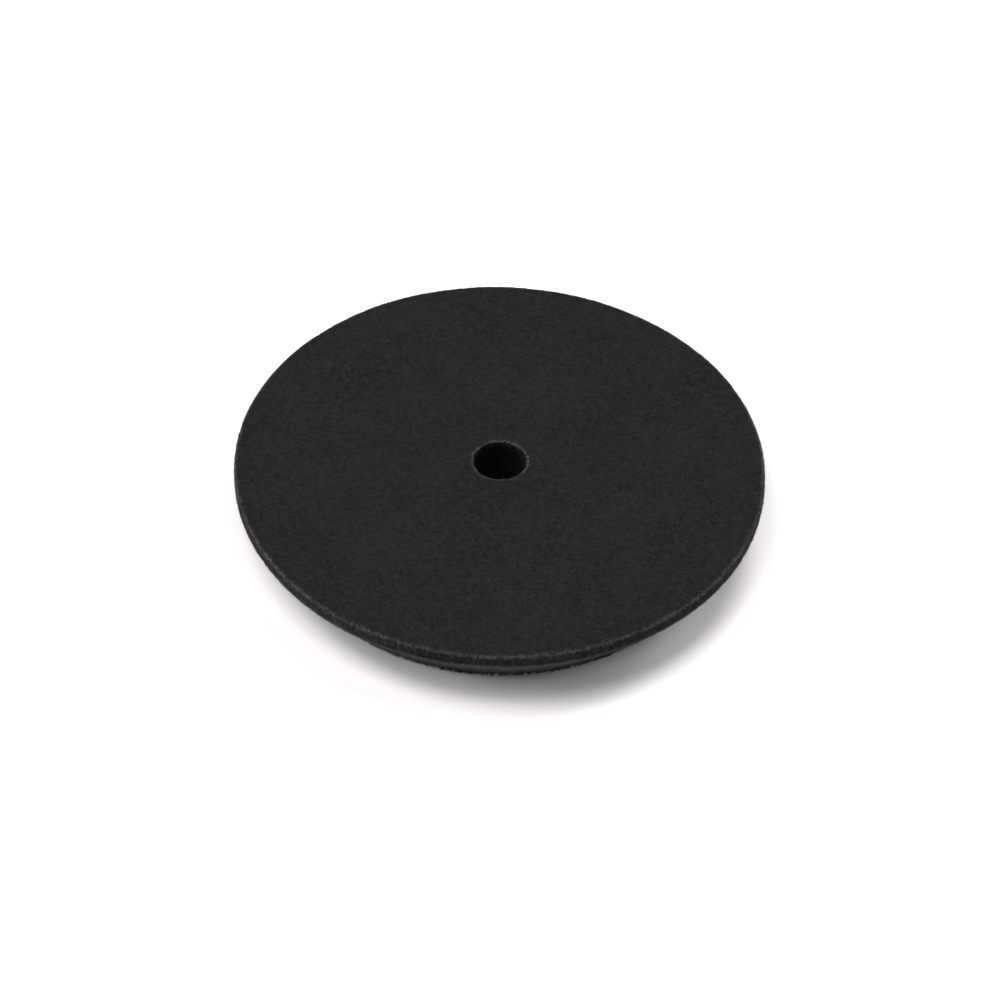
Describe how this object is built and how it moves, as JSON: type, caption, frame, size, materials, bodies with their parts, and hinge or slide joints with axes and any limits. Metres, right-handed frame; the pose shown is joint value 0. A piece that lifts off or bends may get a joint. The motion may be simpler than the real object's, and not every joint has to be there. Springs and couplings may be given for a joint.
{
  "type": "foam polishing pad",
  "caption": "Round open-cell foam finishing pad with a centre hole, an undercut side and a loop backing that grips a hook backing plate.",
  "frame": {"origin": "on the pad's axis at the tips of the backing loops, the face that meets the backing plate", "axes": "+Z along the pad's axis, out of the working face; X and Y lie in the plane of the backing"},
  "size_m": [0.18, 0.18, 0.025],
  "materials": {
    "foam": "matte",
    "glue": "satin",
    "ground_cloth": "matte",
    "loops": "matte"
  },
  "bodies": {
    "root": {"foam_disc": "foam", "adhesive_film": "glue", "knitted_backing": "ground_cloth", "loop_pile": "loops"}
  },
  "joints": []
}
